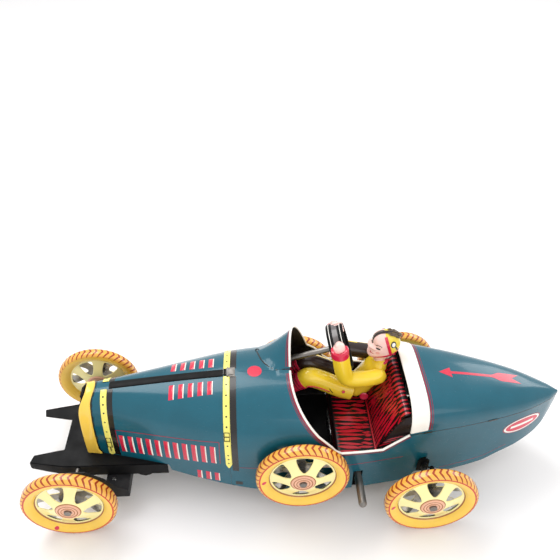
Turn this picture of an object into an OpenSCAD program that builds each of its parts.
// Clockwork tin racing car with driver: pressed sheet pieces on a channel frame.
// Forward is -X, up is +Z, the origin is on the floor under the middle of the car.

/* [Overall] */
// Distance between the front and the rear axle
wheelbase = 307; // [300:1:312]
// Horn tip to tail tip
overall_length = 481.5; // [480:0.5:484]
// Thickness of the painted sheet
sheet = 0.8; // [0.6:0.1:1]

/* [Wheels] */
// Outside radius of a tyre
tyre_r = 40; // [39:0.5:41]
// Width of a tyre
tyre_w = 10.4; // [10.2:0.2:10.6]
// Radius where the tyre ends and the pale disc begins
disc_r = 28; // [27.5:0.5:28.5]
// Number of windows and spokes in a disc
window_count = 6; // [5:1:7]
// Car centre line to the middle of a front wheel
front_track = 70.6; // [70.2:0.2:73]
// Car centre line to the middle of a rear wheel
rear_track = 80.9; // [80:0.1:82]
// Radius of the front axle rod
front_axle_r = 1.7; // [1.5:0.1:1.7]
// Radius of the rear axle rod
rear_axle_r = 2; // [1.8:0.1:2.2]

/* [Spare wheels] */
// Spare wheel centre, rearwards of the front axle
spare_back = 198; // [192:0.5:200]
// Spare wheel centre above the floor
spare_z = 56.6; // [55:0.2:58]
// Car centre line to the middle of a spare wheel
spare_out = 63.8; // [63.6:0.2:66]

/* [Frame] */
// Top of the frame plate
frame_top = 43.2; // [43:0.1:43.6]
// Underside of the frame rails
rail_bottom = 30; // [29.8:0.1:31]
// Underside of the floor pan
floor_z = 22; // [21.8:0.1:22.4]

/* [Clockwork] */
// Winding arbor, rearwards of the front axle
arbor_back = 248; // [248:0.1:248.3]
// Winding arbor above the floor
arbor_z = 41; // [40.8:0.1:41.2]
// Radius of the winding arbor where the key goes
arbor_r = 3.5; // [3:0.1:3.5]
// Half the gap between the motor plates
motor_half_gap = 15; // [14.5:0.5:16]
// Turns of the mainspring
spring_turns = 6; // [4:1:7]

/* [Hidden] */
$fn = 64;
EPS = 0.05;
front_x = -overall_length / 2 + 43.5;
rear_x = front_x + wheelbase;
arbor_x = front_x + arbor_back;
spare_x = front_x + spare_back;
tail_x = overall_length / 2;
radiator_x = -191;
nose_x = -179.4;
bonnet_end_x = -61;
cockpit_front_x = -7;
tail_start_x = 93;
pan_front_x = -20;
panel_front_x = 34;
hinge_half = 3.7;
driver_y = 20;
wheel_sides = [-1, 1];
// A wheel's domed hub stands out past its tyre
hub_reach = tyre_w / 2 + 2.4;
// Axle end past the hub's outer face
axle_over = 1.3;
// The train: its tooth counts set the ratios of the clockwork's arbors
gear_module = 0.8;
pinion_teeth = 12;
big_teeth = 40;
second_teeth = 36;
governor_teeth = 10;

WHEELS = ["front_left", "front_right", "rear_left", "rear_right", "spare_left", "spare_right"];

// Outline stations: distance along X, then the value there
HALF_WIDTH = [[-191, 20], [-167, 24], [-63, 50], [-2, 54.5], [33, 55], [93, 48], [108, 45.5],
              [153, 36.5], [200, 23], [230, 9], [240.75, 0.9]];
SEAM = [[-191, 50], [-167, 55], [-63, 72], [-2, 80], [33, 80], [93, 86], [123, 85], [240.75, 78]];
TOP = [[-191, 105], [-167, 108.5], [-63, 119.4], [-2, 120], [33, 120], [93, 117], [108, 113.5],
       [123, 111.5], [153, 107], [200, 97], [230, 86], [240.75, 80.5]];
FULLNESS = [[-191, 2.4], [-63, 2.4], [33, 2.6], [93, 3.4], [108, 3.6], [153, 3], [240.75, 2]];
BOTTOM = [[-116, 36], [-63, 28], [-20, 22], [168, 22.6], [188, 28], [209, 32.5], [230, 44],
          [240.75, 74]];
RIM = [[14, 96], [32, 75], [70, 72], [92, 87]];

// Smooth curve through the stations
function slope(t, i) = let (a = max(i - 1, 0), b = min(i + 1, len(t) - 1))
    (t[b][1] - t[a][1]) / (t[b][0] - t[a][0]);
function span(t, x, i = 0) = i >= len(t) - 2 || x <= t[i + 1][0] ? i : span(t, x, i + 1);
function smooth(t, x) = let (
        i = span(t, x), h = t[i + 1][0] - t[i][0], s = (x - t[i][0]) / h)
    t[i][1] * (1 + 2 * s) * pow(1 - s, 2) + slope(t, i) * h * s * pow(1 - s, 2)
    + t[i + 1][1] * (3 - 2 * s) * s * s + slope(t, i + 1) * h * (s - 1) * s * s;
function mix(a, b, s) = a + (b - a) * s;

function bottom_z(x) = x < -116 ? frame_top : smooth(BOTTOM, x);
// Rise of the sheet in front of the driver
function cowl(x, y) = y <= 0 || x < -34 || x > 16 ? 0
    : 25 * pow((x + 34) / 34, 1.3) * pow(sin(180 * min(y / 52, 1)), 0.9);

// Point on the body skin: v runs from -2 over the top (0) to 2, and 1 is the side seam
function skin(x, v, inset) = let (
        a = 90 * (1 - min(abs(v), 1)),
        n = smooth(FULLNESS, x),
        zs = smooth(SEAM, x),
        side = v < 0 ? -1 : 1,
        y = side * (smooth(HALF_WIDTH, x) - inset) * pow(max(cos(a), 0), 2 / n),
        z = zs + (smooth(TOP, x) - inset - zs) * pow(max(sin(a), 0), 2 / n),
        low = max(abs(v) - 1, 0) * (zs - bottom_z(x)))
    [x, y, z - low + (abs(v) < 1 ? cowl(x, y) : 0)];
// v of a height on the side wall or on the shoulder
function side_v(x, z) = let (zs = smooth(SEAM, x), n = smooth(FULLNESS, x))
    z <= zs ? 1 + (zs - z) / (zs - bottom_z(x))
    : 1 - asin(pow((z - zs) / (smooth(TOP, x) - zs), n / 2)) / 90;

// v of a distance from the centre line on the top
function top_v(x, y) = 1 - acos(pow(y / smooth(HALF_WIDTH, x), smooth(FULLNESS, x) / 2)) / 90;

// Closed sheet over a grid of [x, v] cells, between two insets
module tin(cells, outer, inner) {
    n = len(cells) - 1;
    m = len(cells[0]) - 1;
    k = (n + 1) * (m + 1);
    at = function(i, j) i * (m + 1) + j;
    points = [for (inset = [outer, inner]) for (row = cells) for (c = row) skin(c[0], c[1], inset)];
    faces = concat(
        [for (i = [0:n - 1]) for (j = [0:m - 1]) let (a = at(i, j), b = at(i + 1, j),
            c = at(i + 1, j + 1), d = at(i, j + 1))
            each [[a, d, c], [a, c, b], [a + k, b + k, c + k], [a + k, c + k, d + k]]],
        [for (j = [0:m - 1]) let (a = at(0, j), d = at(0, j + 1), b = at(n, j), c = at(n, j + 1))
            each [[d, a, a + k], [d, a + k, d + k], [b, c, c + k], [b, c + k, b + k]]],
        [for (i = [0:n - 1]) let (a = at(i, 0), b = at(i + 1, 0), d = at(i, m), c = at(i + 1, m))
            each [[a, b, b + k], [a, b + k, a + k], [c, d, d + k], [c, d + k, c + k]]]);
    polyhedron(points = points, faces = faces);
}

// Band of skin between two stations
module band(x0, x1, v0, v1, along, round_it, outer = 0, inner = sheet) {
    tin([for (i = [0:along]) [for (j = [0:round_it])
        [mix(x0, x1, i / along), mix(v0, v1, j / round_it)]]], outer, inner);
}

// Flat shape in the XZ plane, thick along Y from y0 to y1
module upright(y0, y1) translate([0, y1, 0]) rotate([90, 0, 0]) linear_extrude(y1 - y0) children();
// Rod along Y
module rod(x, z, y0, y1, r) translate([x, y1, z]) rotate([90, 0, 0]) cylinder(h = y1 - y0, r = r);

// ---- frame and body ----
horn_back = 43.5 - 12;
module rail_web(side) {
    // from the horn tip to the bend, then along the bonnet
    translate([front_x - 43.5, side * 29.3, 0]) rotate([0, 0, side * atan(5.5 / horn_back)])
        upright(-0.6, 0.6) polygon([[0, 36.5], [0, 40], [4, 42], [31.8, 42], [31.8, 31.6], [2, 35]]);
    translate([front_x - 12, side * 35.2, 0]) rotate([0, 0, side * 0.8]) upright(-0.6, 0.6) difference() {
        polygon([[0, 42], [0, 31.5], [14, rail_bottom], [64, rail_bottom], [65, 27.8], [69, 26.6],
                 [73, 27.8], [74, rail_bottom], [92, rail_bottom], [91, 42]]);
        translate([6, 37.5]) square([12, 5]);
    }
}
module chassis_frame() color("dimgray") {
    translate([0, 0, 42]) linear_extrude(frame_top - 42) difference() {
        polygon([for (s = wheel_sides) each [for (p = s < 0
            ? [[-43.5, 30], [-41.5, 22], [-20, 17.6], [-15.5, 17]]
            : [[-15.5, 17], [-20, 17.6], [-41.5, 22], [-43.5, 30], [-12, 35.8], [79, 37]])
            [front_x + p[0], s * p[1]]],
            [front_x + 79, 34], [front_x + 177.25, 40], [front_x + 177.25, -40], [front_x + 79, -34],
            [front_x + 79, -37], [front_x - 12, -35.8]]);
        translate([front_x + 33, 0]) circle(r = 2.5);
        translate([front_x - 8, -13]) circle(r = 3.2);
        translate([front_x - 8, 13]) circle(r = 3.2);
    }
    for (s = wheel_sides) rail_web(s);
    translate([pan_front_x - 1.2, -40, floor_z + 1.2]) cube([1.2, 80, 42 - floor_z - 1.2]);
}
// The pan is narrow at the rear, where the side panels are arched for the axle
function pan_half(x) = min(smooth(HALF_WIDTH, x) - 1.4, x > 95 ? 28 : 60);
module floor_pan() color("black") translate([0, 0, floor_z]) linear_extrude(1.2)
    polygon([for (s = wheel_sides) for (i = [0:16])
        let (x = mix(pan_front_x, 165, (s < 0 ? i : 16 - i) / 16)) [x, s * pan_half(x)]]);
module radiator_shell() color("gold") {
    band(radiator_x, nose_x - 0.3, -2, 2, 2, 40, -1, 0.6);
}
module radiator_core() color("gray") {
    translate([radiator_x + 2, 0, 0]) rotate([90, 0, 90]) linear_extrude(3)
        polygon([for (j = [0:40]) let (p = skin(radiator_x + 2, mix(-2, 2, j / 40), 1)) [p[1], p[2]]]);
}
module bonnet_shell() color("teal") band(nose_x, bonnet_end_x - 0.1, -2, 2, 14, 44);
module bonnet_hinge() color("black") tin(
    [for (i = [0:12]) let (x = mix(-163, -65, i / 12), v = top_v(x, hinge_half))
        [for (j = [0:4]) [x, mix(-v, v, j / 4)]]],
    -1.3, -0.1);
clip_end_x = -54;
module bonnet_clip() color("silver")
    translate([clip_end_x - 8, -5.5, skin(clip_end_x, 0, 0)[2] + 0.02]) cube([8, 11, 1.8]);
// A strap has a half on each side, from beside the hinge down to its lower end
module strap(x0, x1, low) for (s = wheel_sides)
    tin([for (i = [0:2]) let (x = mix(x0, x1, i / 2), e = side_v(x, low), t = top_v(x, 6))
        [for (j = [0:20]) [x, s < 0 ? mix(-e, -t, j / 20) : mix(t, e, j / 20)]]], -0.7, -0.1);
module front_strap() color("khaki") strap(-170.8, -165, 44);
module rear_strap() color("khaki") strap(-64.7, -59, 54);
module scuttle_shell() color("teal") difference() {
    tin([for (i = [0:18]) [for (j = [0:48]) let (v = mix(-2, 2, j / 48))
        [mix(bonnet_end_x + 0.1, scuttle_edge(abs(v)), i / 18), v]]], 0, sheet);
    rod(spare_x, spare_z, -60, 60, front_axle_r + 0.05);
    for (s = wheel_sides) rod(spare_x, spare_z, s < 0 ? -60 : 54.4, s < 0 ? -54.4 : 60, stud_flange_r + 0.1);
}
// Rear edge of the scuttle: back to the lower corner of the cockpit, then down its side
function scuttle_edge(a) = a < 0.8 ? cockpit_front_x + 21 * pow(a / 0.8, 2)
    : min(14 + 20 * (a - 0.8) / 0.29, panel_front_x);
function panel_top(x) = x < tail_start_x ? lookup(x, RIM) : smooth(SEAM, x) - 0.2;
module side_panel(s) tin(
    [for (i = [0:40]) let (x = mix(panel_front_x + 0.2, 238.5, i / 40), e = side_v(x, panel_top(x)))
        [for (j = [0:6]) [x, s < 0 ? mix(-2, -e, j / 6) : mix(e, 2, j / 6)]]], 0, sheet);
// Slots from below let the axle and the winding arbor in
module panel_slots() {
    translate([rear_x - 3, -60, 0]) cube([6, 120, 50]);
    upright(-60, 60) polygon([for (p = [[-10, 20], [-7, 31], [14, 29.5], [26, 20]]) [rear_x + p[0], p[1]]]);
    translate([arbor_x - 4.2, -60, 0]) cube([8.4, 120, 45.5]);
}
module left_side_panel() color("teal") difference() {
    side_panel(-1);
    panel_slots();
}
module right_side_panel() color("teal") difference() {
    side_panel(1);
    panel_slots();
}
module tail_deck() color("teal") band(tail_start_x, tail_x, -1, 1, 24, 32);
module bulkhead() color("black") translate([-24, 0, 0]) rotate([90, 0, 90]) difference() {
    linear_extrude(1.2) polygon([for (j = [0:40])
        let (p = skin(-24, mix(-1.5, 1.5, j / 40), 2)) [p[1], min(p[2], 117)]]);
    translate([driver_y, column_z(-23.4), -10]) cylinder(h = 20, r = 4);
}

// ---- cockpit ----
cushion_top = 66;
back_tilt = 26;
module seat_cushion() color("firebrick") upright(-48.5, 48.5)
    polygon([[31, 60.4], [31, cushion_top - 2], [33, cushion_top], [65, 63.5], [65, 60.4]]);
module seat_back() color("firebrick") {
    translate([66.5, 0, 62.5]) rotate([0, back_tilt, 0]) rotate([90, 0, 90]) linear_extrude(2.2)
        polygon([[-44, 0], [44, 0], [43, 47], [-43, 47]]);
    // the top edge is rolled back towards the tail
    upright(-40, 40) polygon([[86.5, 104.8], [88.4, 104.2], [92.8, 104.6], [92.8, 106], [88, 106.2]]);
}
column_tilt = 16.7;
hub = [32, driver_y, 124.7];
function column_z(x) = hub[2] + (x - hub[0]) * tan(column_tilt);
module on_column() translate(hub) rotate([0, 90 - column_tilt, 0]) children();
module steering_column() color("gray") on_column() translate([0, 0, -66]) cylinder(h = 64.5, r = 2.6);
// The wheel's rim is a broad pressed hoop round the column
module hoop(grow) rotate_extrude() polygon([[19 - grow, -1 - grow], [20.6 + grow, -1 - grow],
    [21.4 + grow, 2], [21.4 + grow, 11], [20.6 + grow, 14 + grow], [19 - grow, 14 + grow]]);
module steering_wheel() color("black") on_column() {
    hoop(0);
    difference() {
        translate([0, 0, -1]) cylinder(h = 2, r = 19.4);
        for (a = [45:90:315]) rotate([0, 0, a]) translate([11.5, 0, -5]) cylinder(h = 10, r = 5);
    }
}
module limb(a, b, ra, rb) hull() {
    translate(a) sphere(r = ra, $fn = 20);
    translate(b) sphere(r = rb, $fn = 20);
}
module driver_torso() color("gold") hull() for (side = wheel_sides) {
    translate([60, driver_y + side * 0.7, 77.2]) sphere(r = 11, $fn = 24);
    translate([73, driver_y + side * 2.2, 102]) sphere(r = 9.5, $fn = 24);
}
module driver_legs() color("gold") for (side = wheel_sides) {
    y = driver_y + side * 8.9;
    limb([39, y, 83], [14, y, 98], 8.6, 8.7);
    limb([14, y, 98], [-14, y, 82], 8.7, 6);
}
// Each arm is half round: its flat side lies against the body, and the rim runs through its hand
module driver_arm(side) difference() {
    y = driver_y + side * 19;
    union() {
        limb([74, y, 102.5], [46, y, 105], 7, 7);
        limb([46, y, 105], [38, y, 137.5], 7, 6);
        limb([38, y, 137.5], [34, y, 145.5], 6, 4.5);
    }
    translate([0, driver_y - 12, 60]) cube([120, 24, 100]);
    on_column() hoop(EPS);
}
module driver_left_arm() color("gold") driver_arm(-1);
module driver_right_arm() color("gold") driver_arm(1);
module driver_head() color("pink") {
    hull() {
        translate([76, driver_y - 2, 130]) sphere(r = 13, $fn = 24);
        translate([80, driver_y + 2, 136]) sphere(r = 13, $fn = 24);
    }
    translate([73, driver_y, 111.8]) cylinder(h = 12, r = 6);
}

// ---- front axle ----
pivot_x = front_x + 33;
module bracket_end() polygon([for (p = [[-8, 36], [-8, 53], [-4, 57], [12, 57], [26, 46], [36, 34],
    [45, 29], [45, 19], [24, 19], [8, 33]]) [front_x + p[0], p[1]]]);
module steering_bracket() color("slategray") {
    difference() {
        translate([front_x + 24, -50.8, 19]) cube([21, 101.6, 10]);
        translate([front_x + 25.2, -52, 18]) cube([18.6, 104, 9.8]);
        translate([pivot_x, 0, 10]) cylinder(h = 30, r = 2.55);
    }
    for (s = wheel_sides) difference() {
        upright(s < 0 ? -52 : 50.8, s < 0 ? -50.8 : 52) bracket_end();
        rod(front_x, tyre_r, -60, 60, front_axle_r);
    }
}
module steering_pivot() color("silver") {
    translate([pivot_x, 0, 25.4]) cylinder(h = 1.6, r = 5);
    translate([pivot_x, 0, 26.9]) cylinder(h = frame_top - 26.9, r = 2.5);
    translate([pivot_x, 0, 29.1]) cylinder(h = 12.9, r = 4.5);
}
module front_axle() color("silver") {
    end = front_track + hub_reach + axle_over;
    collar = front_track - hub_reach - 0.1;
    rod(front_x, tyre_r, -end, end, front_axle_r);
    for (s = wheel_sides) {
        rod(front_x, tyre_r, s < 0 ? -end : end - 1.2, s < 0 ? 1.2 - end : end, 3);
        rod(front_x, tyre_r, s < 0 ? -collar : collar - 1.5, s < 0 ? 1.5 - collar : collar, 3);
    }
}

// ---- wheels ----
function window_outline() = [[26.4, -7], [26.4, 7], [22, 6.9], [17, 5], [13.2, 2.2], [12, 0], [13.2, -2.2],
    [17, -5], [22, -6.9]];
module disc_half(turn) difference() {
    rotate_extrude($fn = 96) wheel_profile(tyre_w / 2);
    for (i = [0:window_count - 1]) rotate([0, 0, turn + 360 / window_count * i])
        translate([0, 0, -1]) linear_extrude(20) polygon(window_outline());
}
// The sidewall dips to the edge of the disc, and the disc is domed out to its hub
module wheel_profile(half) polygon(concat(
    [[tyre_r - sheet, EPS], [tyre_r, EPS]],
    [for (a = [0:15:90]) [36.7 + (tyre_r - 36.7) * cos(a), 1.4 + (half - 1.4) * sin(a)]],
    [[34, half - 0.3], [31, half - 1.6], [28.8, half - 3.5], [disc_r, half - 4.3], [26, half - 4.1],
     [22, half - 2.8], [17, half - 0.8], [12.5, half + 0.7], [10.6, half + 1.1], [9.8, half + 2.2],
     [3.2, half + 2.4], [3.2, half + 1.6], [9.1, half + 1.4], [9.9, half + 0.3], [12.3, half - 0.1],
     [17, half - 1.65], [22, half - 3.65], [26.2, half - 5], [disc_r + 0.2, half - 5.1],
     [29.4, half - 4.2], [31.5, half - 2.5], [34.2, half - 1.2]],
    [for (a = [90:-15:0])
        [36.4 + (tyre_r - sheet - 36.4) * cos(a), 1.4 + (half - sheet - 1.4) * sin(a)]]));
function window_turn(at) = at == "front_left" ? 47 : at == "spare_left" ? 27 : 30;
module place_wheel(at) {
    corner = at == "front_left" || at == "front_right" ? [front_x, front_track, tyre_r]
        : at == "rear_left" || at == "rear_right" ? [rear_x, rear_track, tyre_r]
        : [spare_x, spare_out, spare_z];
    s = at == "front_left" || at == "rear_left" || at == "spare_left" ? -1 : 1;
    translate([corner[0], s * corner[1], corner[2]]) rotate([-90 * s, 0, 0]) children();
}
function hub_bore(at) = at == "rear_left" || at == "rear_right" ? rear_axle_r : front_axle_r + 0.05;
module wheel_face(at) color("khaki") place_wheel(at) disc_half(window_turn(at));
module wheel_back(at) color("khaki") place_wheel(at) {
    mirror([0, 0, 1]) disc_half(8);
    difference() {
        union() {
            translate([0, 0, -hub_reach]) cylinder(h = 2 * hub_reach - 0.1, r = 3.1);
            translate([0, 0, 0.1 - hub_reach]) cylinder(h = 0.6, r = 3.4);
        }
        translate([0, 0, -10]) cylinder(h = 20, r = hub_bore(at));
    }
}
stud_flange_r = 4;
module spare_stud(s) {
    end = spare_out + hub_reach + axle_over;
    rod(spare_x, spare_z, s < 0 ? -end : 53.4, s < 0 ? -53.4 : end, front_axle_r);
    rod(spare_x, spare_z, s < 0 ? -end : end - 1.2, s < 0 ? 1.2 - end : end, 3);
    rod(spare_x, spare_z, s < 0 ? -55.9 : 54.9, s < 0 ? -54.9 : 55.9, stud_flange_r);
}
module left_spare_stud() color("silver") spare_stud(-1);
module right_spare_stud() color("silver") spare_stud(1);

// ---- rear axle and clockwork ----
axle_at = [rear_x, tyre_r];
arbor_at = [arbor_x, arbor_z];
function pitch_r(teeth) = gear_module * teeth / 2;
third_at = [rear_x - pitch_r(big_teeth) - pitch_r(pinion_teeth), tyre_r];
// Second arbor: where its two centre distances meet, above the line of the other two
reach_a = pitch_r(big_teeth) + pitch_r(pinion_teeth);
reach_b = pitch_r(second_teeth) + pitch_r(pinion_teeth);
function heading(a, b) = atan2(b[1] - a[1], b[0] - a[0]);
line_ab = norm(third_at - arbor_at);
lift = acos((reach_a * reach_a + line_ab * line_ab - reach_b * reach_b) / (2 * reach_a * line_ab));
function polar(r, a) = r * [cos(a), sin(a)];
second_at = arbor_at + polar(reach_a, heading(arbor_at, third_at) + lift);
governor_dir = 60;
governor_at = third_at + polar(pitch_r(big_teeth) + pitch_r(governor_teeth), governor_dir);

pressure = 25;
backlash = 0.16;
function involute(rb, r) = sqrt(max(r * r / (rb * rb) - 1, 0)) * 180 / PI - acos(min(rb / r, 1));
module gear(teeth, first_tooth) {
    rp = pitch_r(teeth);
    rb = rp * cos(pressure);
    root = rp - 1.1 * gear_module;
    tip = rp + 0.85 * gear_module;
    half_at_pitch = 90 / teeth - backlash / rp * 90 / PI;
    base = max(rb, root + 0.01);
    flank = function(r) half_at_pitch + involute(rb, rp) - involute(rb, r);
    polygon([for (i = [0:teeth - 1]) let (c = first_tooth + 360 / teeth * i) each concat(
        [polar(root, c - flank(base))],
        [for (k = [0:4]) let (r = mix(base, tip, k / 4)) polar(r, c - flank(r))],
        [for (k = [4:-1:0]) let (r = mix(base, tip, k / 4)) polar(r, c + flank(r))],
        [polar(root, c + flank(base))])]);
}
module gear_at(p, y0, y1, teeth, first_tooth, bore) upright(y0, y1) translate(p) difference() {
    gear(teeth, first_tooth);
    circle(r = bore);
}
// The gear that looks back along a heading shows it a gap
function facing_gap(direction, teeth) = direction + 180 + 180 / teeth;
module pinion_at(p, y0, y1, from, bore)
    gear_at(p, y0, y1, pinion_teeth, facing_gap(from, pinion_teeth), bore);

shaft_r = 1.5;
module rear_axle_brackets() color("black") for (s = wheel_sides) difference() {
    upright(s < 0 ? -48.4 : 47.2, s < 0 ? -47.2 : 48.4)
        polygon([for (p = [[-5, 35], [5, 35], [5, 49], [3, 51], [-3, 51], [-5, 49]]) [rear_x + p[0], p[1]]]);
    rod(rear_x, tyre_r, -60, 60, rear_axle_r + 0.06);
    rod(lever_at[0], lever_at[1], -60, 60, 1.06);
}
module rear_axle() color("silver") {
    end = rear_track + hub_reach + axle_over;
    rod(rear_x, tyre_r, -end, end, rear_axle_r);
    for (s = wheel_sides) rod(rear_x, tyre_r, s < 0 ? -end : end - 1.2, s < 0 ? 1.2 - end : end, 3.2);
}
module axle_pinion() color("goldenrod")
    pinion_at(axle_at, 8, 10.8, heading(third_at, axle_at), rear_axle_r);
module motor_plate(y0) difference() {
    upright(y0, y0 + 1.2) polygon([[arbor_x - 20, floor_z + 1.3], [rear_x + 12, floor_z + 1.3],
        [rear_x + 12, 52], [rear_x + 4, 60], [arbor_x - 14, 60], [arbor_x - 20, 54]]);
    rod(arbor_x, arbor_z, -30, 30, 3.05);
    rod(rear_x, tyre_r, -30, 30, rear_axle_r + 0.06);
    for (p = [second_at, third_at]) rod(p[0], p[1], -30, 30, shaft_r + 0.05);
    rod(governor_at[0], governor_at[1], -30, 30, 1.05);
}
module left_motor_plate() color("lightgray") motor_plate(-motor_half_gap - 1.2);
module right_motor_plate() color("lightgray") motor_plate(motor_half_gap);
module motor_pillars() color("silver")
    for (p = [[arbor_x - 17, 27], [arbor_x - 16, 56], [rear_x + 8, 27], [rear_x + 7, 54]])
        rod(p[0], p[1], -motor_half_gap, motor_half_gap, 2);
module mainspring() color("steelblue") {
    step = 1.6;
    spiral = function(a, t) polar(4.6 + step * a / 360 + t, a);
    upright(-13, -1) translate(arbor_at) polygon(concat(
        [for (a = [0:15:360 * spring_turns]) spiral(a, 0)],
        [for (a = [360 * spring_turns:-15:0]) spiral(a, 0.5)]));
}
module winding_arbor() color("gray") {
    rod(arbor_x, arbor_z, -56.5, 18, 3);
    rod(arbor_x, arbor_z, -82, -56.5, arbor_r);
    translate([arbor_x, -82, arbor_z]) sphere(r = arbor_r, $fn = 48);
}
ratchet_teeth = 16;
module ratchet_wheel() color("goldenrod") upright(1, 2.6) translate(arbor_at) difference() {
    polygon([for (i = [0:ratchet_teeth - 1]) let (c = 360 / ratchet_teeth * i)
        each [polar(7, c), polar(9, c + 1)]]);
    circle(r = 3);
}
click_pivot = arbor_at + polar(12.6, 200);
module great_wheel() color("goldenrod") {
    difference() {
        gear_at(arbor_at, 3, 4.6, big_teeth, heading(arbor_at, second_at), 3);
        rod(click_pivot[0], click_pivot[1], 0, 9, 1.05);
    }
}
module click() color("gray") {
    rod(click_pivot[0], click_pivot[1], 0.9, 4.6, 1);
    upright(1, 2.6) polygon([click_pivot + [-1.8, 1.6], click_pivot + [-1.8, -1.6], click_pivot + [1, -1.8],
        arbor_at + polar(9.35, 232), arbor_at + polar(10.6, 214)]);
}
module second_arbor() color("silver") {
    rod(second_at[0], second_at[1], -17, 17, shaft_r);
    pinion_at(second_at, 2.4, 5.2, heading(arbor_at, second_at), shaft_r);
}
module second_wheel() color("goldenrod")
    gear_at(second_at, 12, 13.6, second_teeth, heading(second_at, third_at), shaft_r);
module third_arbor() color("silver") {
    rod(third_at[0], third_at[1], -17, 17, shaft_r);
    pinion_at(third_at, 11.4, 14, heading(second_at, third_at), shaft_r);
}
module third_wheel() color("goldenrod")
    gear_at(third_at, 8.6, 10.2, big_teeth, heading(third_at, axle_at), shaft_r);
// The governor pinion takes its phase from the third wheel's nearest tooth
tooth_step = 360 / big_teeth;
off_tooth = governor_dir - tooth_step * round(governor_dir / tooth_step);
module governor() color("silver") {
    rod(governor_at[0], governor_at[1], -17, 17, 1);
    gear_at(governor_at, 8, 10.8, governor_teeth,
        facing_gap(governor_dir, governor_teeth) + off_tooth * big_teeth / governor_teeth, 1);
    upright(-4, -2.8) translate(governor_at) difference() {
        polygon([[-6, -1.6], [6, -1.6], [6, 1.6], [-6, 1.6]]);
        circle(r = 1);
    }
}
// The stop lever turns on a shaft that reaches the governor side of the left plate
lever_at = [rear_x, 46.5];
lever_y = -51.2;
module stop_lever() color("gray") {
    rod(lever_at[0], lever_at[1], lever_y - 1, -17, 1);
    rod(lever_at[0], lever_at[1], lever_y - 1, -49.2, 2.4);
    translate([lever_at[0], lever_y, lever_at[1]]) rotate([0, 90 + 32.8, 0]) cylinder(h = 8, r = 0.8);
    translate([lever_at[0] + 7.6, lever_y, lever_at[1] - 4.9]) sphere(r = 2.2, $fn = 32);
}

chassis_frame();
floor_pan();
radiator_shell();
radiator_core();
bonnet_shell();
bonnet_hinge();
bonnet_clip();
front_strap();
rear_strap();
scuttle_shell();
left_side_panel();
right_side_panel();
tail_deck();
bulkhead();
seat_cushion();
seat_back();
steering_column();
steering_wheel();
driver_torso();
driver_legs();
driver_left_arm();
driver_right_arm();
driver_head();
steering_bracket();
steering_pivot();
front_axle();
rear_axle_brackets();
rear_axle();
axle_pinion();
left_spare_stud();
right_spare_stud();
left_motor_plate();
right_motor_plate();
motor_pillars();
mainspring();
winding_arbor();
great_wheel();
ratchet_wheel();
click();
second_arbor();
second_wheel();
third_arbor();
third_wheel();
governor();
stop_lever();
for (w = WHEELS) {
    wheel_face(w);
    wheel_back(w);
}
